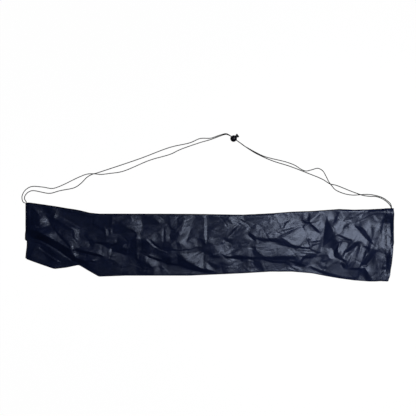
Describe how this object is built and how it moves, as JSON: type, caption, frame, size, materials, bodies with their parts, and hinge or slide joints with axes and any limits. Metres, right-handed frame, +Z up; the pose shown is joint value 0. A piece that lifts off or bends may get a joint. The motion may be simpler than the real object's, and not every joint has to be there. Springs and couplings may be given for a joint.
{
  "type": "weave pole carry bag",
  "caption": "Long soft drawstring bag for weave poles, laid flat and empty, with a doubled carrying cord and a sprung ball cord lock.",
  "frame": {"origin": "middle of the flat underside of the laid bag, without its cord and cord lock", "axes": "+X along the bag from its closed end to its mouth, +Y towards the seamed edge where the cord lies, +Z up off the surface that it lies on"},
  "size_m": [1.1151, 0.4441, 0.02],
  "materials": {
    "bag_cloth": "thin woven nylon, slight sheen",
    "seam_cloth": "folded and overlocked nylon edge",
    "thread": "polyester sewing thread",
    "cord": "braided polyester cord",
    "lock_plastic": "moulded, fine satin texture",
    "spring_steel": "drawn wire"
  },
  "bodies": {
    "bag": {"front_panel": "bag_cloth", "back_panel": "bag_cloth", "side_seam": "seam_cloth", "end_seam": "seam_cloth", "side_allowance": "seam_cloth", "end_allowance": "seam_cloth", "mouth_casing": "bag_cloth", "casing_cord": "cord", "side_stitches": "thread", "end_stitches": "thread", "casing_stitches": "thread", "mouth_bartack": "thread", "corner_bartack": "thread", "cord_a": "cord", "cord_b": "cord"},
    "lock_body": {"lock_barrel": "lock_plastic", "lock_spring": "spring_steel"},
    "lock_button": {"lock_plunger": "lock_plastic"}
  },
  "joints": [
    {"name": "lock_slide", "type": "slide", "parent": "bag", "child": "lock_body", "axis": [0.809, -0.5878, 0], "range_m": [0, 0.03]},
    {"name": "button_press", "type": "slide", "parent": "lock_body", "child": "lock_button", "axis": [-0.7986, -0.6018, 0], "range_m": [0, 0.003], "stiffness_N_per_m": 1500, "springref_m": -0.002, "deforming": ["lock_spring"]}
  ]
}
